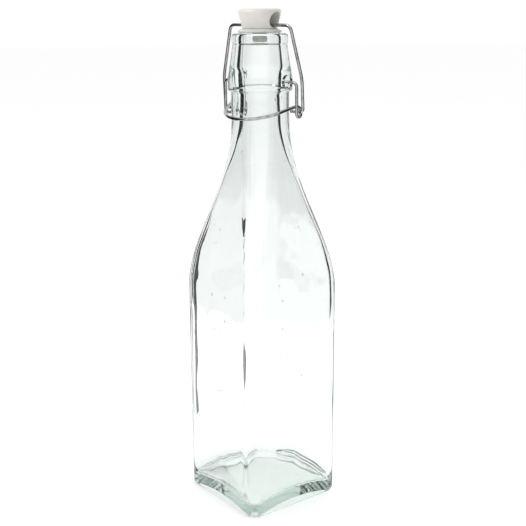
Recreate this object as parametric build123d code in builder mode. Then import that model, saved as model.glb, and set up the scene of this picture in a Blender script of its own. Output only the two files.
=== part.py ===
"""Square clear-glass bottle closed by a wire swing top, in millimetres.

+Z is up and the bottle stands on z = 0 with its axis on the origin. The flat
sides face the X and Y axes. The closure is two bent wires: a lever that pivots
in two dimples of the collar, and a bail that joins the lever to the stopper.
"""
import os
from math import acos, asin, atan2, cos, degrees, hypot, radians, sin, tan

from build123d import *

# ---- driving dimensions ------------------------------------------------------
body_width = 62.0  # across the flats of the square body
body_corner = 8.2  # outer radius of the body's upright corners
shoulder_start = 120.0  # where the straight sides end
shoulder_end = 214.0  # where the round neck begins
shoulder_power = 1.152  # skews the S-shaped shoulder towards the body
shoulder_steps = 12  # sections in the shoulder
least_flat = 0.02  # half of the flat left between the corners at the round neck
neck_radius = 15.3
neck_step = 0.05  # how much slimmer the neck is, so that it meets the shoulder cleanly
body_wall = 3.0
neck_wall = 6.0
wall_power = 7.0  # how soon the wall thins below the neck
heel_radius = 2.5  # rounding round the foot of the body

punt_width = 55.0  # square hollow of the pushed-up base
punt_corner = 5.5
punt_rise = 8.2  # its height at the middle
dome_rim = 38.5  # where the two domes of the base would reach their lowest level
floor_height = 4.5  # glass thickness over the standing ring
floor_rise = 8.0
margin = 1.0  # spare depth of the cutting shapes

collar_bottom = 226.7
collar_radius = 17.0
collar_top = 233.0
lip_bottom = 251.0
lip_top = 256.0  # height of the glass alone
lip_radius = 14.7
waist_radius = 14.15  # groove under the lip
throat_bore = 8.9  # narrowest part of the bore, under the collar
throat_bottom = 220.0
throat_top = 224.0
collar_bore = 10.8  # widest part, over the bosses
collar_bore_height = 238.0
mouth_bore = 9.85
mouth_bottom = 250.0
mouth_chamfer = 1.0
bore_bend = 12.0  # rounding between those parts

closure_turn = 16.0  # degrees that the pivot axis is turned from +X about +Z
wire = 1.7  # diameter of both wires
pivot_height = 231.6  # axis of the two dimples in the collar
boss_radius = 3.7
boss_reach = 18.2  # face of each boss, from the bottle's axis
boss_draft = 4.0  # degrees
dimple_radius = 0.95
dimple_floor = 13.6
wire_end_reach = 14.2  # inner end of each lever tip

arm_bend = 2.4
arm_reach = 23.2  # the lever's upright arms, from the bottle's axis
arm_drop = 15.1  # from the pivot down to the centre of each eye
coil_radius = 2.75  # centre line of each eye
coil_corners = 5
coil_turn = 286.0  # degrees that the wire winds round each eye
coil_shift = 1.8  # sideways travel of the wire over one eye
loop_radius = 19.0  # round front of the lever
loop_centre = -0.8  # forward place of the centre of that round
loop_slope = 16.0  # degrees that the loop falls towards the front
loop_corners = 4
bend_share = 0.95  # rounding of those corners, as a share of the round they follow

cross_height = 260.1  # axis of the bail's cross wire, through the stopper
bail_shoulder = 19.0  # where the bail turns down, from the bottle's axis
bail_reach = 25.3  # lower, upright part of the bail's legs
bail_straight = 17.0  # length of that upright part
hook_reach = 17.2  # inner end of each hook, past the eye
bail_bend = 3.2
leg_bend = 30.0
hook_bend = 2.0

stopper_bottom = 258.4
stopper_top = 268.3
stopper_top_radius = 11.6
stopper_bottom_radius = 9.1
hole_radius = 4.1
hole_height = 262.85
stem_radius = 3.3
button_radius = 3.85
button_top = 256.15
button_bottom = 251.7

gasket_radius = 11.35
gasket_bottom = 256.3
gasket_rim = 1.0  # height of its upright edge
gasket_hole = 3.35

# ---- values worked out from them ---------------------------------------------
half_body = body_width / 2
neck_bore = neck_radius - neck_wall
gasket_top = stopper_bottom - 0.02  # clear of the stopper, which it is pressed on
eye_back = -coil_radius  # the arms hang straight down, in front of the eyes
eye_height = pivot_height - arm_drop
closure = Plane(
    origin=(0, 0, 0),
    x_dir=(cos(radians(closure_turn)), sin(radians(closure_turn)), 0),
    z_dir=(0, 0, 1),
)
# In that plane +x runs along the pivot axis and -y points to the front, where
# the lever's loop is. "forward" below is therefore minus the plane's y.


def shoulder_blend(height):
    """0 at the neck and 1 at the body, with a smooth S between."""
    run = (shoulder_end - height) / (shoulder_end - shoulder_start)
    run = max(0.0, min(1.0, run)) ** shoulder_power
    return run * run * (3 - 2 * run)


def outer_section(height):
    """Half width and corner radius of the outer surface at a height."""
    blend = shoulder_blend(height)
    half = neck_radius + (half_body - neck_radius) * blend
    round_corner = neck_radius - least_flat
    corner = round_corner + (body_corner - round_corner) * blend
    return half, corner


def inner_section(height):
    """Half width and corner radius of the cavity at a height."""
    blend = shoulder_blend(height)
    wall = body_wall + (neck_wall - body_wall) * (1 - blend) ** wall_power
    half = outer_section(height)[0] - wall
    round_corner = neck_bore - least_flat
    corner = round_corner + (body_corner - body_wall - round_corner) * blend
    return half, corner


def shoulder_heights():
    """Heights of the shoulder's sections, from the body up to the neck."""
    step = (shoulder_end - shoulder_start) / shoulder_steps
    return [shoulder_start + step * index for index in range(shoulder_steps + 1)]


def dome_profile(rim_height, rise, foot_height):
    """Half outline of a spherical dome that stands on a short cylinder."""
    sphere_radius = (dome_rim**2 + rise**2) / (2 * rise)
    dome_angle = degrees(asin(dome_rim / sphere_radius))
    Line((0, foot_height), (dome_rim, foot_height))
    Line((dome_rim, foot_height), (dome_rim, rim_height))
    CenterArc((0, rim_height + rise - sphere_radius), sphere_radius, 90 - dome_angle, dome_angle)
    Line((0, rim_height + rise), (0, foot_height))


# ---- bottle ------------------------------------------------------------------
os.makedirs("parts", exist_ok=True)

# The hollow under the base: a dome cut square, so that its rim arches up over the
# middle of each side and is lowest at the corners.
with BuildPart() as punt:
    with BuildSketch(Plane.XZ):
        with BuildLine():
            dome_profile(0, punt_rise, -margin)
        make_face()
    revolve(axis=Axis.Z)
    with BuildSketch(Plane.XY.offset(-margin)):
        RectangleRounded(punt_width, punt_width, punt_corner)
    extrude(amount=punt_rise + 2 * margin, mode=Mode.INTERSECT)

# The raised floor inside, which follows that hollow.
with BuildPart() as raised_floor:
    with BuildSketch(Plane.XZ):
        with BuildLine():
            dome_profile(floor_height, floor_rise, floor_height - margin)
        make_face()
    revolve(axis=Axis.Z)
    with BuildSketch(Plane.XY.offset(floor_height - margin)):
        RectangleRounded(body_width - body_wall, body_width - body_wall, body_corner)
    extrude(amount=floor_rise + 2 * margin, mode=Mode.INTERSECT)

with BuildPart() as bottle:
    # Straight square body with a rounded heel.
    with BuildSketch(Plane.XY):
        RectangleRounded(body_width, body_width, body_corner)
    extrude(amount=shoulder_start)
    fillet(bottle.edges().group_by(Axis.Z)[0], radius=heel_radius)

    # Shoulder, from the square body to the round neck.
    for level in shoulder_heights():
        half_width, corner_radius = outer_section(level)
        with BuildSketch(Plane.XY.offset(level)):
            RectangleRounded(2 * half_width, 2 * half_width, corner_radius)
    loft()

    # Neck, collar and lip in one turned shape.
    with BuildSketch(Plane.XZ):
        with BuildLine():
            FilletPolyline(
                (0, shoulder_end - margin),
                (neck_radius - neck_step, shoulder_end - margin),
                (neck_radius - neck_step, collar_bottom),
                (collar_radius, collar_bottom),
                (collar_radius, collar_top),
                (waist_radius, lip_bottom - 0.5),
                (lip_radius, lip_bottom),
                (lip_radius, lip_top),
                (0, lip_top),
                radius=[0, 0.6, 1.0, 12.0, 0.3, 0.3, 1.6],
            )
            Line((0, lip_top), (0, shoulder_end - margin))
        make_face()
    revolve(axis=Axis.Z)

    # Two bosses on the collar, which the lever pivots in.
    for side in (1, -1):
        boss_plane = Plane(
            origin=closure.from_local_coords(Vector(side * boss_reach, 0, pivot_height)),
            z_dir=-side * closure.x_dir,
        )
        with BuildSketch(boss_plane):
            Circle(boss_radius)
        extrude(amount=boss_reach - dimple_floor + margin, taper=-boss_draft)

    # Cavity of the body, and of the shoulder up to the neck.
    with BuildSketch(Plane.XY.offset(floor_height)):
        inner_half, inner_corner_radius = inner_section(shoulder_start)
        RectangleRounded(2 * inner_half, 2 * inner_half, inner_corner_radius)
    extrude(amount=shoulder_start - floor_height, mode=Mode.SUBTRACT)
    for level in shoulder_heights():
        half_width, corner_radius = inner_section(level)
        with BuildSketch(Plane.XY.offset(level)):
            RectangleRounded(2 * half_width, 2 * half_width, corner_radius)
    loft(mode=Mode.SUBTRACT)

    # Bore of the neck, which narrows under the collar, widens over the bosses and
    # opens in a small chamfer at the mouth.
    with BuildSketch(Plane.XZ):
        with BuildLine():
            FilletPolyline(
                (0, shoulder_end - margin),
                (neck_bore - neck_step, shoulder_end - margin),
                (throat_bore, throat_bottom),
                (throat_bore, throat_top),
                (collar_bore, collar_bore_height),
                (mouth_bore, mouth_bottom),
                (mouth_bore, lip_top - mouth_chamfer),
                (mouth_bore + mouth_chamfer, lip_top),
                (0, lip_top),
                radius=[0, bore_bend, bore_bend, bore_bend, bore_bend, 0, 0],
            )
            Line((0, lip_top), (0, shoulder_end - margin))
        make_face()
    revolve(axis=Axis.Z, mode=Mode.SUBTRACT)

    # Raised floor, and the hollow under it.
    add(raised_floor.part)
    add(punt.part, mode=Mode.SUBTRACT)

    # Dimples that hold the lever's tips.
    for side in (1, -1):
        dimple_plane = Plane(
            origin=closure.from_local_coords(Vector(side * dimple_floor, 0, pivot_height)),
            z_dir=side * closure.x_dir,
        )
        with BuildSketch(dimple_plane):
            Circle(dimple_radius)
        extrude(amount=boss_reach - dimple_floor + margin, mode=Mode.SUBTRACT)

bottle.part.label = "glass_bottle"
export_step(bottle.part, "parts/glass_bottle.step")

# ---- stopper -----------------------------------------------------------------
with BuildPart() as stopper:
    with BuildSketch(Plane.XZ):
        with BuildLine():
            FilletPolyline(
                (0, button_bottom),
                (button_radius, button_bottom),
                (button_radius, button_top),
                (stem_radius, button_top),
                (stem_radius, stopper_bottom),
                (stopper_bottom_radius, stopper_bottom),
                (stopper_top_radius, stopper_top),
                (0, stopper_top),
                radius=[0.8, 0.15, 0, 0, 0.4, 1.2],
            )
            Line((0, stopper_top), (0, button_bottom))
        make_face()
    revolve(axis=Axis.Z)

    # Wide cross hole for the bail.
    hole_plane = Plane(
        origin=closure.from_local_coords(Vector(0, 0, hole_height)),
        z_dir=closure.x_dir,
    )
    with BuildSketch(hole_plane):
        Circle(hole_radius)
    extrude(amount=stopper_top_radius + margin, both=True, mode=Mode.SUBTRACT)

stopper.part.label = "stopper"
export_step(stopper.part, "parts/stopper.step")

# ---- sealing washer ----------------------------------------------------------
with BuildPart() as gasket:
    with BuildSketch(Plane.XZ):
        with BuildLine():
            FilletPolyline(
                (gasket_hole, gasket_bottom),
                (gasket_radius, gasket_bottom),
                (gasket_radius, gasket_bottom + gasket_rim),
                (stopper_bottom_radius, gasket_top),
                (gasket_hole, gasket_top),
                radius=[0.4, 0.5, 0.8],
            )
            Line((gasket_hole, gasket_top), (gasket_hole, gasket_bottom))
        make_face()
    revolve(axis=Axis.Z)

gasket.part.label = "sealing_washer"
export_step(gasket.part, "parts/sealing_washer.step")

# ---- lever wire --------------------------------------------------------------
# One wire: tip, arm, eye, front loop, eye, arm, tip. The points below are for
# the +x half as (sideways, forward, height), and the other half mirrors them.
lever_half = [
    (wire_end_reach, 0, pivot_height),
    (arm_reach, 0, pivot_height),
]
lever_bends = [arm_bend]
corner_step = coil_turn / coil_corners
corner_distance = coil_radius / cos(radians(corner_step / 2))
for index in range(coil_corners):
    angle = -radians(corner_step * (index + 0.5))
    lever_half.append(
        (
            arm_reach - coil_shift * index / (coil_corners - 1),
            eye_back + corner_distance * cos(angle),
            eye_height + corner_distance * sin(angle),
        )
    )
    lever_bends.append(coil_radius * bend_share)

# The loop leaves the last corner falling at loop_slope. In plan it is a line
# that meets the round front on its tangent.
loop_start = lever_half[-1]
start_across = loop_start[0]
start_ahead = loop_start[1] - loop_centre
tangent_angle = degrees(
    atan2(start_ahead, start_across) + acos(loop_radius / hypot(start_across, start_ahead))
)


def loop_point(sideways, forward):
    """A point of the sloping loop above a place in plan."""
    fall = tan(radians(loop_slope)) * (forward - loop_start[1])
    return (sideways, forward, loop_start[2] - fall)


# Corners of an outline drawn round the front circle, two in this half.
side_angle = (180.0 - 2 * tangent_angle) / loop_corners
front_distance = loop_radius / cos(radians(side_angle / 2))
for index in range(loop_corners // 2):
    angle = radians(tangent_angle + side_angle * (index + 0.5))
    lever_half.append(
        loop_point(
            front_distance * cos(angle),
            loop_centre + front_distance * sin(angle),
        )
    )
    lever_bends.append(loop_radius * bend_share)

lever_other_half = [(-across, forward, height) for across, forward, height in reversed(lever_half)]
lever_route = [
    closure.from_local_coords(Vector(across, -forward, height))
    for across, forward, height in lever_half + lever_other_half
]
with BuildPart() as lever:
    with BuildLine() as lever_line:
        FilletPolyline(*lever_route, radius=lever_bends + lever_bends[::-1])
    with BuildSketch(Plane(origin=lever_line.line @ 0, z_dir=lever_line.line % 0)):
        Circle(wire / 2)
    sweep()

lever.part.label = "lever_wire"
export_step(lever.part, "parts/lever_wire.step")

# ---- bail wire ---------------------------------------------------------------
# It lies in one plane, through the cross wire and the centres of both eyes.
leg_bottom = Vector(0, -eye_back, eye_height)
leg_top = Vector(0, 0, cross_height)
leg_length = (leg_top - leg_bottom).length
leg_up = (leg_top - leg_bottom).normalized()


def bail_point(across, up):
    """A point of the bail, measured up its plane from the eyes' axis."""
    place = Vector(across, 0, 0) + leg_bottom + leg_up * up
    return closure.from_local_coords(place)


with BuildPart() as bail:
    with BuildLine() as bail_line:
        FilletPolyline(
            bail_point(hook_reach, 0),
            bail_point(bail_reach, 0),
            bail_point(bail_reach, bail_straight),
            bail_point(bail_shoulder, leg_length),
            bail_point(-bail_shoulder, leg_length),
            bail_point(-bail_reach, bail_straight),
            bail_point(-bail_reach, 0),
            bail_point(-hook_reach, 0),
            radius=[hook_bend, leg_bend, bail_bend, bail_bend, leg_bend, hook_bend],
        )
    with BuildSketch(Plane(origin=bail_line.line @ 0, z_dir=bail_line.line % 0)):
        Circle(wire / 2)
    sweep()

bail.part.label = "bail_wire"
export_step(bail.part, "parts/bail_wire.step")
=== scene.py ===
from math import acos, atan2, cos, hypot, pi, radians, sin, sqrt, tan

import bmesh
import bpy
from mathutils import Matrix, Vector, noise


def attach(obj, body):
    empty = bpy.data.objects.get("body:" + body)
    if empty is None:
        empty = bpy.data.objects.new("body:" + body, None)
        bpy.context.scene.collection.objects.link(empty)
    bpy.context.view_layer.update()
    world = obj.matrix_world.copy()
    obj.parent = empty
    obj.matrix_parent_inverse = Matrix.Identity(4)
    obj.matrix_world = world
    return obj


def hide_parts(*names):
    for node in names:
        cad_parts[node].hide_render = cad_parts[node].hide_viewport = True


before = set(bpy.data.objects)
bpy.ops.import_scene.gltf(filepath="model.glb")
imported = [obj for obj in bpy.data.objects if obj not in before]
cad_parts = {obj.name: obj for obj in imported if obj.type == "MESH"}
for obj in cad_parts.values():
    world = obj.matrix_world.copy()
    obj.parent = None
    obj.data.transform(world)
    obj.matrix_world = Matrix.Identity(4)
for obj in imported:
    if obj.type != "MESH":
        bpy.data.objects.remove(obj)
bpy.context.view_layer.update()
bpy.ops.object.select_all(action="DESELECT")
mm = 0.001

# ---- Camera ------------------------------------------------------------------
# It stands off the body's near corner, a little above the stopper, and tips
# down so that the whole bottle fills the height of the picture.
camera_azimuth = radians(52.4)
camera_distance = 530.1 * mm
camera_height = 271.6 * mm
camera_pitch = radians(14.64)
camera_roll = radians(-0.36)
camera_place = Vector((sin(camera_azimuth), -cos(camera_azimuth), 0)) * camera_distance
camera_right = Vector((cos(camera_azimuth), sin(camera_azimuth), 0))
camera_place += camera_right * 0.9 * mm
camera_place.z = camera_height
bpy.ops.object.camera_add(
    location=camera_place,
    rotation=(pi / 2 - camera_pitch, 0, camera_azimuth),
)
camera = bpy.context.object
camera.rotation_euler.rotate_axis("Z", camera_roll)
camera.data.sensor_width = 36.0
camera.data.lens = 68.4
bpy.context.scene.camera = camera

# ---- Glass bottle ------------------------------------------------------------
# One blown piece of clear glass with a faint green tint: square body with
# rounded corners, long shoulder, round neck, turned-looking collar and lip, and
# a pushed-up base. Its walls are a few millimetres thick and slightly uneven.
half_body, body_corner, body_wall = 31.0, 8.2, 3.0
shoulder_start, shoulder_end, shoulder_power = 120.0, 214.0, 1.152
wall_power = 7.0
neck_radius, neck_bore, throat_bore = 15.3, 9.3, 8.9
collar_radius, collar_bottom, collar_top, collar_bore = 17.0, 226.7, 233.0, 10.8
waist_radius, lip_radius, lip_bottom, lip_top = 14.15, 14.7, 251.0, 256.0
mouth_bore, bore_bend = 9.85, 12.0
punt_half, punt_corner, punt_rise = 27.5, 5.5, 8.2
dome_rim = 38.5
floor_height, floor_rise, floor_bend, floor_corner = 4.5, 8.0, 4.0, 2.0
heel_radius = 2.5
wall_sway = 0.55
glass_sides = 160
smooth_angle = radians(38)
closure_turn = radians(16)
across_axis = Vector((cos(closure_turn), sin(closure_turn), 0))
forward_axis = Vector((sin(closure_turn), -cos(closure_turn), 0))


def rounded_route(corners, steps):
    """Points of a route whose corners (place, radius) are rounded."""
    points = [corners[0][0]]
    for index in range(1, len(corners) - 1):
        here, radius = corners[index]
        before = (corners[index - 1][0] - here).normalized()
        after = (corners[index + 1][0] - here).normalized()
        half_turn = before.angle(after) / 2
        centre = here + (before + after).normalized() * (radius / sin(half_turn))
        start = (here + before * (radius / tan(half_turn)) - centre).normalized()
        end = (here + after * (radius / tan(half_turn)) - centre).normalized()
        for step in range(steps + 1):
            points.append(centre + start.slerp(end, step / steps).normalized() * radius)
    points.append(corners[-1][0])
    return points


def filled_route(points, gap):
    """The same route with extra points, so that no two are further apart than a gap."""
    route = [points[0]]
    for point in points[1:]:
        pieces = max(1, round((point - route[-1]).length / gap))
        last = route[-1]
        route += [last.lerp(point, step / pieces) for step in range(1, pieces + 1)]
    return route


def dome(reach, rise):
    """Height of a shallow dome over the level of its rim, at a reach from the axis."""
    if reach >= dome_rim:
        return 0.0
    sphere = (dome_rim**2 + rise**2) / (2 * rise)
    return rise - sphere + sqrt(sphere**2 - reach**2)


def shoulder_blend(height):
    """0 at the round neck and 1 at the square body."""
    run = (shoulder_end - height) / (shoulder_end - shoulder_start)
    run = max(0.0, min(1.0, run)) ** shoulder_power
    return run * run * (3 - 2 * run)


def outer_ring(height):
    """Half width, corner radius and height of the outside, below the collar."""
    blend = shoulder_blend(height)
    half = neck_radius + (half_body - neck_radius) * blend
    corner = neck_radius + (body_corner - neck_radius) * blend
    return half, corner, height


def inner_ring(height):
    """The same for the cavity, whose wall is thickest in the neck."""
    blend = shoulder_blend(height)
    wall = body_wall + (neck_radius - neck_bore - body_wall) * (1 - blend) ** wall_power
    corner = neck_bore + (body_corner - body_wall - neck_bore) * blend
    return outer_ring(height)[0] - wall, corner, height


def spread(low, high, count):
    """Evenly spaced heights between two, both ends included."""
    return [low + (high - low) * step / count for step in range(count + 1)]


def ring_radius(angle, half, corner):
    """Distance from the axis to a rounded square, in a direction."""
    near = max(abs(cos(angle)), abs(sin(angle)))
    far = min(abs(cos(angle)), abs(sin(angle)))
    flat = half - corner
    if half * far <= flat * near:
        return half / near
    return flat * (near + far) + sqrt(max(0.0, corner**2 - (flat * (near - far)) ** 2))


def place_ring(verts, half, corner, height, rise=0.0, sway=0.0):
    """Puts a ring of vertices on a rounded square, closest together at its corners.

    A rise lays the ring on a dome, and a sway moves it in and out a little.
    """
    for index, vert in enumerate(verts):
        angle = 2 * pi * index / len(verts)
        angle += 0.16 * sin(4 * angle)
        reach = ring_radius(angle, half, corner)
        level = height + dome(reach, rise) if rise else height
        if sway:
            place = Vector((reach * cos(angle), reach * sin(angle), level))
            reach += sway * noise.noise(place * 0.045) + sway * 0.35 * noise.noise(place * 0.13)
        vert.co = Vector((reach * cos(angle), reach * sin(angle), level)) * mm


def begin_piece(name, sides, fill="NGON"):
    """A new object with one ring of vertices, all selected and ready to be extruded."""
    bpy.ops.object.select_all(action="DESELECT")
    bpy.ops.mesh.primitive_circle_add(vertices=sides, radius=mm, fill_type=fill, location=(0, 0, 0))
    piece = bpy.context.object
    piece.name = name
    bpy.ops.object.mode_set(mode="EDIT")
    bpy.ops.mesh.select_mode(type="EDGE")
    bpy.ops.mesh.select_all(action="SELECT")
    return piece


def newest_ring(piece):
    """The edit mesh of a piece and its selected ring, in order."""
    mesh = bmesh.from_edit_mesh(piece.data)
    mesh.verts.ensure_lookup_table()
    return mesh, sorted((v for v in mesh.verts if v.select), key=lambda v: v.index)


def end_piece():
    """Turns all the faces outwards and leaves the piece as a finished mesh."""
    bpy.ops.mesh.select_all(action="SELECT")
    bpy.ops.mesh.normals_make_consistent(inside=False)
    bpy.ops.object.mode_set(mode="OBJECT")


def cut_piece(piece, tool, action):
    """Joins a tool to a piece, or cuts it out, and takes the tool away."""
    bpy.context.view_layer.objects.active = piece
    cut = piece.modifiers.new("cut", "BOOLEAN")
    cut.object = tool
    cut.operation = action
    cut.solver = "EXACT"
    bpy.ops.object.modifier_apply(modifier=cut.name)
    bpy.data.objects.remove(tool)


# Rings from the middle of the base, up the outside, over the lip and down inside.
# The hollow ends in a low step, with a small rounding before the standing rim.
rings = []
punt_rings = 14
for step in range(1, punt_rings + 1):
    part = step / punt_rings
    corner = punt_half * part * (1 - part) + punt_corner * part
    rings.append((punt_half * part, min(corner, punt_half * part), 0, punt_rise))
rings.append((punt_half + 0.35, punt_corner + 0.35, 0.25))
rings.append((punt_half + 0.9, punt_corner + 0.6, 0))
bend_steps = 6
for step in range(1, bend_steps + 1):
    angle = pi / 2 * step / bend_steps
    inset = heel_radius * (1 - sin(angle))
    rings.append((half_body - inset, body_corner - inset, heel_radius * (1 - cos(angle))))
rings += [outer_ring(height) for height in spread(8, shoulder_start, 14)]
rings += [outer_ring(height) for height in spread(shoulder_start, shoulder_end, 36)[1:]]
finish = [
    (neck_radius, shoulder_end, 0),
    (neck_radius, collar_bottom, 0.6),
    (collar_radius, collar_bottom, 1.0),
    (collar_radius, collar_top, bore_bend),
    (waist_radius, lip_bottom - 0.5, 0.25),
    (lip_radius, lip_bottom, 0.35),
    (lip_radius, lip_top, 1.7),
    (mouth_bore + 1.0, lip_top, 0.7),
    (mouth_bore, lip_top - 1.4, 1.2),
    (mouth_bore, lip_bottom - 1.0, bore_bend),
    (collar_bore, 238.0, bore_bend),
    (throat_bore, 224.0, bore_bend),
    (throat_bore, 220.0, bore_bend),
    (neck_bore, shoulder_end, 0),
]
finish = rounded_route([(Vector((across, up)), bend) for across, up, bend in finish], 6)
rings += [(point.x, point.x, point.y) for point in filled_route(finish, 1.3)[1:-1]]
sway_start = len(rings) + 1
rings += [inner_ring(height) for height in reversed(spread(shoulder_start, shoulder_end, 36))]
rings += [inner_ring(height) for height in reversed(spread(14, shoulder_start, 20)[:-1])]
inner_half, inner_corner, _ = inner_ring(shoulder_start)
for step in range(1, bend_steps + 1):
    angle = pi / 2 * step / bend_steps
    inset = floor_bend * (1 - cos(angle))
    lift = floor_bend * (1 - sin(angle))
    corner = max(inner_corner - inset, floor_corner)
    rings.append((inner_half - inset, corner, floor_height + lift, floor_rise))
floor_rings = 13
for step in range(floor_rings - 1, 0, -1):
    part = step / floor_rings
    half = (inner_half - floor_bend) * part
    corner = half * (1 - part) + floor_corner * part
    rings.append((half, corner, floor_height, floor_rise))

glass = begin_piece("bottle_glass", glass_sides)
for number, ring in enumerate(rings):
    if number:
        bpy.ops.mesh.extrude_edges_move()
    mesh, newest = newest_ring(glass)
    sway = wall_sway * min(1, (number - sway_start) / 14) if number > sway_start else 0.0
    place_ring(newest, *ring, sway=sway)
    bmesh.update_edit_mesh(glass.data)
bpy.ops.mesh.edge_face_add()
end_piece()
bpy.ops.object.shade_smooth()
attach(glass, "bottle")
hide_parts("glass_bottle")

glass_material = bpy.data.materials.new("clear_glass")
glass_material.use_nodes = True
nodes = glass_material.node_tree.nodes
links = glass_material.node_tree.links
shader = nodes["Principled BSDF"]
shader.inputs["Base Color"].default_value = (0.99, 1.0, 0.995, 1)
shader.inputs["Roughness"].default_value = 0.0
shader.inputs["IOR"].default_value = 1.52
shader.inputs["Transmission Weight"].default_value = 1.0
absorb = nodes.new("ShaderNodeVolumeAbsorption")
absorb.inputs["Color"].default_value = (0.5, 0.66, 0.6, 1)
absorb.inputs["Density"].default_value = 16.0
clear = nodes.new("ShaderNodeBsdfTransparent")
clear.inputs["Color"].default_value = (0.95, 0.97, 0.96, 1)
path = nodes.new("ShaderNodeLightPath")
mix = nodes.new("ShaderNodeMixShader")
output = nodes["Material Output"]
places = nodes.new("ShaderNodeTexCoord")
waves = nodes.new("ShaderNodeTexNoise")
waves.inputs["Scale"].default_value = 55.0
waves.inputs["Detail"].default_value = 1.0
seeds = nodes.new("ShaderNodeTexVoronoi")
seeds.inputs["Scale"].default_value = 95.0
few = nodes.new("ShaderNodeMapRange")
few.inputs["From Min"].default_value = 0.045
few.inputs["From Max"].default_value = 0.075
few.inputs["To Min"].default_value = 1.0
few.inputs["To Max"].default_value = 0.0
ripple = nodes.new("ShaderNodeBump")
ripple.inputs["Strength"].default_value = 0.25
ripple.inputs["Distance"].default_value = 0.0006
specks = nodes.new("ShaderNodeBump")
specks.inputs["Strength"].default_value = 0.5
specks.inputs["Distance"].default_value = 0.0003
links.new(places.outputs["Object"], waves.inputs["Vector"])
links.new(places.outputs["Object"], seeds.inputs["Vector"])
links.new(waves.outputs["Fac"], ripple.inputs["Height"])
links.new(seeds.outputs["Distance"], few.inputs["Value"])
links.new(few.outputs["Result"], specks.inputs["Height"])
links.new(ripple.outputs["Normal"], specks.inputs["Normal"])
links.new(specks.outputs["Normal"], shader.inputs["Normal"])
links.new(path.outputs["Is Shadow Ray"], mix.inputs["Fac"])
links.new(shader.outputs["BSDF"], mix.inputs[1])
links.new(clear.outputs["BSDF"], mix.inputs[2])
links.new(mix.outputs["Shader"], output.inputs["Surface"])
links.new(absorb.outputs["Volume"], output.inputs["Volume"])
glass.data.materials.append(glass_material)

# Two low bosses on the collar, each with the round dimple that a tip of the
# lever sits in. They are joined to the neck and drilled.
pivot_height = 231.6
boss_middle, boss_depth = 16.25, 3.9
drill_middle, drill_depth = 16.6, 6.0
for side in (1, -1):
    bpy.ops.object.select_all(action="DESELECT")
    boss_turn = closure_turn if side == 1 else closure_turn + pi
    bpy.ops.mesh.primitive_cone_add(
        vertices=48,
        radius1=3.95 * mm,
        radius2=3.7 * mm,
        depth=boss_depth * mm,
        location=(across_axis * side * boss_middle + Vector((0, 0, pivot_height))) * mm,
        rotation=(0, pi / 2, boss_turn),
    )
    boss = bpy.context.object
    bpy.ops.mesh.primitive_cylinder_add(
        vertices=24,
        radius=0.95 * mm,
        depth=drill_depth * mm,
        location=(across_axis * side * drill_middle + Vector((0, 0, pivot_height))) * mm,
        rotation=(0, pi / 2, boss_turn),
    )
    drill = bpy.context.object
    cut_piece(glass, boss, "UNION")
    cut_piece(glass, drill, "DIFFERENCE")
bpy.ops.object.select_all(action="DESELECT")
glass.select_set(True)
bpy.context.view_layer.objects.active = glass
bpy.ops.object.shade_smooth_by_angle(angle=smooth_angle)

# ---- Lever wire --------------------------------------------------------------
# Bright drawn wire, 1.7 mm thick: tip, arm, eye and front loop, all in one
# piece. The tips are domed and sit in the dimples of the collar.
wire_radius, wire_sides, tip_reach = 0.85, 20, 14.25
arm_reach, arm_bend, arm_drop = 23.2, 2.4, 15.1
coil_radius, coil_turn, coil_corners, coil_shift = 2.75, radians(286), 5, 1.8
eye_height = pivot_height - arm_drop
loop_radius, loop_centre, loop_slope, loop_corners = 19.0, -0.8, radians(16), 4
bend_share = 0.95
half_route = [((tip_reach, 0, pivot_height), 0), ((arm_reach, 0, pivot_height), arm_bend)]
coil_step = coil_turn / coil_corners
coil_corner = coil_radius / cos(coil_step / 2)
for index in range(coil_corners):
    angle = -coil_step * (index + 0.5)
    place = (
        arm_reach - coil_shift * index / (coil_corners - 1),
        -coil_radius + coil_corner * cos(angle),
        eye_height + coil_corner * sin(angle),
    )
    half_route.append((place, coil_radius * bend_share))
last = half_route[-1][0]
ahead = last[1] - loop_centre
tangent = atan2(ahead, last[0]) + acos(loop_radius / hypot(last[0], ahead))
side_angle = (pi - 2 * tangent) / loop_corners
front_corner = loop_radius / cos(side_angle / 2)
for index in range(loop_corners // 2):
    angle = tangent + side_angle * (index + 0.5)
    forward = loop_centre + front_corner * sin(angle)
    fall = tan(loop_slope) * (forward - last[1])
    place = (front_corner * cos(angle), forward, last[2] - fall)
    half_route.append((place, loop_radius * bend_share))


def closure_place(across, forward, height):
    """A place measured across and forward of the closure, in the object's own frame."""
    return across_axis * across + forward_axis * forward + Vector((0, 0, height))


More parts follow.
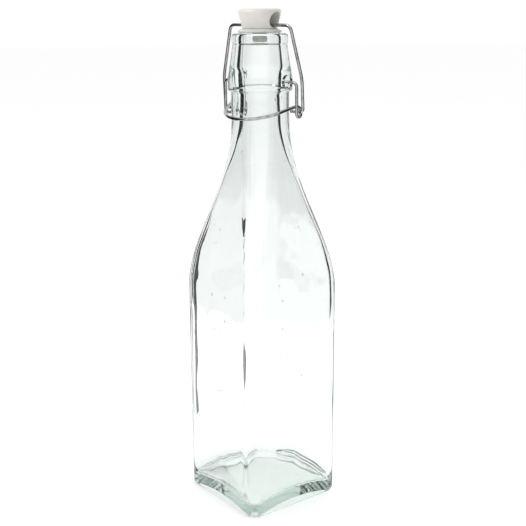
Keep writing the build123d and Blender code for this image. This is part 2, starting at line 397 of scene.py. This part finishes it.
def wire_piece(name, corners, body, node):
    """A round wire along a route with rounded corners, with a dome on each end."""
    route = filled_route(rounded_route(corners, 14), 1.6)
    first = (route[1] - route[0]).normalized()
    final = (route[-1] - route[-2]).normalized()
    dome_steps = [pi / 2 * step / 4 for step in range(1, 4)]
    caps = [(wire_radius * (1 - cos(turn)), wire_radius * sin(turn)) for turn in dome_steps]
    stations = [(route[0] + first * inset, radius) for inset, radius in caps]
    stations += [(point, wire_radius) for point in route[1:-1]]
    stations += [(route[-1] - final * inset, radius) for inset, radius in reversed(caps)]
    side = first.orthogonal().normalized()
    piece = begin_piece(name, wire_sides)
    for index, (point, radius) in enumerate(stations):
        if index:
            bpy.ops.mesh.extrude_edges_move()
        mesh, newest = newest_ring(piece)
        ahead_point = stations[min(index + 1, len(stations) - 1)][0]
        behind_point = stations[max(index - 1, 0)][0]
        way = (ahead_point - behind_point).normalized()
        side = (side - way * side.dot(way)).normalized()
        other = way.cross(side)
        for number, vert in enumerate(newest):
            turn = 2 * pi * number / wire_sides
            vert.co = (point + (side * cos(turn) + other * sin(turn)) * radius) * mm
        bmesh.update_edit_mesh(piece.data)
    bpy.ops.mesh.edge_face_add()
    end_piece()
    bpy.ops.object.shade_smooth()
    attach(piece, body)
    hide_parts(node)
    return piece


lever_corners = [(closure_place(*place), bend) for place, bend in half_route]
lever_corners += [
    (closure_place(-place[0], place[1], place[2]), bend) for place, bend in reversed(half_route)
]
lever = wire_piece("lever_wire_visual", lever_corners, "lever", "lever_wire")

steel = bpy.data.materials.new("bright_wire")
steel.use_nodes = True
nodes = steel.node_tree.nodes
links = steel.node_tree.links
shader = nodes["Principled BSDF"]
shader.inputs["Metallic"].default_value = 1.0
places = nodes.new("ShaderNodeTexCoord")
grain = nodes.new("ShaderNodeTexNoise")
grain.inputs["Scale"].default_value = 420.0
grain.inputs["Detail"].default_value = 3.0
tone = nodes.new("ShaderNodeMapRange")
tone.inputs["To Min"].default_value = 0.1
tone.inputs["To Max"].default_value = 0.26
shade = nodes.new("ShaderNodeValToRGB")
shade.color_ramp.elements[0].position = 0.3
shade.color_ramp.elements[0].color = (0.3, 0.3, 0.31, 1)
shade.color_ramp.elements[1].position = 0.7
shade.color_ramp.elements[1].color = (0.56, 0.56, 0.57, 1)
scratch = nodes.new("ShaderNodeBump")
scratch.inputs["Strength"].default_value = 0.25
scratch.inputs["Distance"].default_value = 0.0001
links.new(places.outputs["Object"], grain.inputs["Vector"])
links.new(grain.outputs["Fac"], tone.inputs["Value"])
links.new(grain.outputs["Fac"], shade.inputs["Fac"])
links.new(grain.outputs["Fac"], scratch.inputs["Height"])
links.new(tone.outputs["Result"], shader.inputs["Roughness"])
links.new(shade.outputs["Color"], shader.inputs["Base Color"])
links.new(scratch.outputs["Normal"], shader.inputs["Normal"])
lever.data.materials.append(steel)

# ---- Bail wire ---------------------------------------------------------------
# The same wire, sprung through the stopper: a cross wire, two leaning
# legs, and a hook at each foot that passes through an eye of the lever.
cross_height = 260.1
leg_bottom = Vector((0, coil_radius, eye_height))
leg_top = Vector((0, 0, cross_height))
leg_length = (leg_top - leg_bottom).length
hook_reach, bail_reach, bail_shoulder, bail_straight = 17.2, 25.3, 19.0, 17.0
half_bail = [
    (hook_reach, 0, 0),
    (bail_reach, 0, 2.0),
    (bail_reach, bail_straight, 30.0),
    (bail_shoulder, leg_length, 3.2),
]
bail_corners = []
for sign, half in ((1, half_bail), (-1, half_bail[::-1])):
    for across, up, bend in half:
        place = leg_bottom.lerp(leg_top, up / leg_length)
        bail_corners.append((closure_place(sign * across, -place.y, place.z), bend))
bail = wire_piece("bail_wire_visual", bail_corners, "bail", "bail_wire")
bail.data.materials.append(steel)

# ---- Stopper -----------------------------------------------------------------
# White moulded head, wider at the top, with a wide hole across it for the bail
# and a stem that passes through the washer and ends in a small button.
stopper_bottom, stopper_top = 258.4, 268.3
stopper_bottom_radius, stopper_top_radius = 9.1, 11.6
button_radius, button_bottom, button_top = 3.85, 251.7, 256.15
stem_radius, pole_radius = 3.3, 0.3
hole_radius, hole_height, hole_length = 4.1, 262.85, 30.0
turned_sides = 96


def place_turned(piece, outline):
    """Extrudes the ring of a turned piece along its outline of (radius, height)."""
    for index, point in enumerate(outline):
        if index:
            bpy.ops.mesh.extrude_edges_move()
        mesh, newest = newest_ring(piece)
        for number, vert in enumerate(newest):
            turn = 2 * pi * number / turned_sides
            vert.co = Vector((point.x * cos(turn), point.x * sin(turn), point.y)) * mm
        bmesh.update_edit_mesh(piece.data)


stopper_outline = [
    (pole_radius, button_bottom, 0),
    (button_radius, button_bottom, 0.9),
    (button_radius, button_top, 0.15),
    (stem_radius, button_top, 0.1),
    (stem_radius, stopper_bottom, 0.1),
    (stopper_bottom_radius, stopper_bottom, 0.5),
    (stopper_top_radius, stopper_top, 1.5),
    (pole_radius, stopper_top, 0),
]
stopper_outline = [(Vector((across, up)), bend) for across, up, bend in stopper_outline]
stopper = begin_piece("stopper_visual", turned_sides)
place_turned(stopper, filled_route(rounded_route(stopper_outline, 6), 0.8))
bpy.ops.mesh.edge_face_add()
end_piece()
bpy.ops.object.select_all(action="DESELECT")
bpy.ops.mesh.primitive_cylinder_add(
    vertices=64,
    radius=hole_radius * mm,
    depth=hole_length * mm,
    location=(0, 0, hole_height * mm),
    rotation=(0, pi / 2, closure_turn),
)
cut_piece(stopper, bpy.context.object, "DIFFERENCE")
soft = stopper.modifiers.new("soft", "BEVEL")
soft.width = 0.35 * mm
soft.segments = 3
soft.limit_method = "ANGLE"
soft.angle_limit = radians(40)
bpy.ops.object.modifier_apply(modifier=soft.name)
bpy.ops.object.select_all(action="DESELECT")
stopper.select_set(True)
bpy.ops.object.shade_smooth_by_angle(angle=smooth_angle)
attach(stopper, "stopper")
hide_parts("stopper")

plastic = bpy.data.materials.new("white_stopper")
plastic.use_nodes = True
nodes = plastic.node_tree.nodes
links = plastic.node_tree.links
shader = nodes["Principled BSDF"]
shader.inputs["IOR"].default_value = 1.5
places = nodes.new("ShaderNodeTexCoord")
mottle = nodes.new("ShaderNodeTexNoise")
mottle.inputs["Scale"].default_value = 130.0
mottle.inputs["Detail"].default_value = 4.0
shade = nodes.new("ShaderNodeValToRGB")
shade.color_ramp.elements[0].position = 0.3
shade.color_ramp.elements[0].color = (0.55, 0.535, 0.49, 1)
shade.color_ramp.elements[1].position = 0.7
shade.color_ramp.elements[1].color = (0.64, 0.625, 0.58, 1)
tone = nodes.new("ShaderNodeMapRange")
tone.inputs["To Min"].default_value = 0.26
tone.inputs["To Max"].default_value = 0.42
skin = nodes.new("ShaderNodeBump")
skin.inputs["Strength"].default_value = 0.2
skin.inputs["Distance"].default_value = 0.0002
links.new(places.outputs["Object"], mottle.inputs["Vector"])
links.new(mottle.outputs["Fac"], shade.inputs["Fac"])
links.new(mottle.outputs["Fac"], tone.inputs["Value"])
links.new(mottle.outputs["Fac"], skin.inputs["Height"])
links.new(shade.outputs["Color"], shader.inputs["Base Color"])
links.new(tone.outputs["Result"], shader.inputs["Roughness"])
links.new(skin.outputs["Normal"], shader.inputs["Normal"])
stopper.data.materials.append(plastic)

# ---- Sealing washer ----------------------------------------------------------
# A milky, translucent ring of soft rubber, thicker at its middle, between the
# stopper and the lip.
washer_radius, washer_hole = 11.35, 3.36
washer_bottom, washer_rim_top, washer_top = 256.31, 257.3, 258.37
washer_outline = [
    (washer_hole, washer_bottom, 0),
    (washer_radius, washer_bottom, 0.4),
    (washer_radius, washer_rim_top, 0.5),
    (stopper_bottom_radius, washer_top, 0.8),
    (washer_hole, washer_top, 0),
]
washer_outline = [(Vector((across, up)), bend) for across, up, bend in washer_outline]
washer_outline = filled_route(rounded_route(washer_outline, 5), 0.9)
washer = begin_piece("sealing_washer_visual", turned_sides, fill="NOTHING")
place_turned(washer, washer_outline + washer_outline[:1])
bpy.ops.mesh.select_all(action="SELECT")
bpy.ops.mesh.remove_doubles(threshold=1e-7)
end_piece()
bpy.ops.object.shade_smooth_by_angle(angle=radians(40))
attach(washer, "stopper")
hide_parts("sealing_washer")

rubber = bpy.data.materials.new("washer_rubber")
rubber.use_nodes = True
nodes = rubber.node_tree.nodes
links = rubber.node_tree.links
shader = nodes["Principled BSDF"]
shader.inputs["IOR"].default_value = 1.42
shader.inputs["Transmission Weight"].default_value = 0.35
places = nodes.new("ShaderNodeTexCoord")
cloud = nodes.new("ShaderNodeTexNoise")
cloud.inputs["Scale"].default_value = 160.0
shade = nodes.new("ShaderNodeValToRGB")
shade.color_ramp.elements[0].color = (0.70, 0.72, 0.68, 1)
shade.color_ramp.elements[1].color = (0.82, 0.83, 0.80, 1)
tone = nodes.new("ShaderNodeMapRange")
tone.inputs["To Min"].default_value = 0.35
tone.inputs["To Max"].default_value = 0.5
links.new(places.outputs["Object"], cloud.inputs["Vector"])
links.new(cloud.outputs["Fac"], shade.inputs["Fac"])
links.new(cloud.outputs["Fac"], tone.inputs["Value"])
links.new(shade.outputs["Color"], shader.inputs["Base Color"])
links.new(tone.outputs["Result"], shader.inputs["Roughness"])
washer.data.materials.append(rubber)

# ---- Studio ------------------------------------------------------------------
# A pale floor in an even white light, with one large soft light from the upper
# left. Black flags stand round the bottle, out of the camera's sight: the clear
# glass and the wires show them as dark edges, and the gaps between as bright ones.
bpy.ops.object.select_all(action="DESELECT")
bpy.ops.mesh.primitive_circle_add(vertices=96, radius=6, fill_type="NGON", location=(0, 0, 0))
floor = bpy.context.object
floor.name = "floor"
floor_material = bpy.data.materials.new("pale_floor")
floor_material.use_nodes = True
floor_shader = floor_material.node_tree.nodes["Principled BSDF"]
floor_shader.inputs["Base Color"].default_value = (0.985, 0.985, 0.985, 1)
floor_shader.inputs["Roughness"].default_value = 0.9
floor_shader.inputs["Specular IOR Level"].default_value = 0.1
floor.data.materials.append(floor_material)

flag_material = bpy.data.materials.new("black_flag")
flag_material.use_nodes = True
flag_shader = flag_material.node_tree.nodes["Principled BSDF"]
flag_shader.inputs["Base Color"].default_value = (0.005, 0.005, 0.005, 1)
flag_shader.inputs["Roughness"].default_value = 1.0
flag_shader.inputs["Specular IOR Level"].default_value = 0.0
# Each flag: name, the angles it spans seen from above, distance, foot and head.
flags = (
    ("flag_back", 25, 40, 0.108, 0.0, 0.14),
    ("flag_right", -128, -56, 0.13, 0.07, 0.42),
    ("flag_left", 50, 128, 0.13, 0.07, 0.42),
)
for name, start, stop, away, foot, head in flags:
    middle = camera_azimuth + pi + radians(start + stop) / 2
    width = 2 * away * tan(radians(stop - start) / 2)
    bpy.ops.mesh.primitive_plane_add(
        size=1,
        location=(away * sin(middle), -away * cos(middle), (foot + head) / 2),
        rotation=(pi / 2, 0, middle),
    )
    flag = bpy.context.object
    flag.name = name
    flag.scale = (width, head - foot, 1)
    flag.visible_camera = False
    flag.visible_diffuse = False
    flag.visible_shadow = False
    flag.data.materials.append(flag_material)

light_place = -camera_right * 0.7 + Vector((0.2, -0.2, 0.9))
bpy.ops.object.light_add(type="AREA", location=light_place)
light = bpy.context.object
light.name = "soft_light"
light.rotation_euler = (Vector((0, 0, 0.15)) - light_place).to_track_quat("-Z", "Y").to_euler()
light.data.size = 0.6
light.data.energy = 5.0

world = bpy.data.worlds.new("studio")
bpy.context.scene.world = world
world.use_nodes = True
world.node_tree.nodes["Background"].inputs["Color"].default_value = (1, 1, 1, 1)
world.node_tree.nodes["Background"].inputs["Strength"].default_value = 1.0
bpy.context.scene.view_settings.view_transform = "Standard"
bpy.context.scene.cycles.max_bounces = 24
bpy.context.scene.cycles.transmission_bounces = 24
bpy.context.scene.cycles.glossy_bounces = 24
bpy.context.scene.cycles.transparent_max_bounces = 24
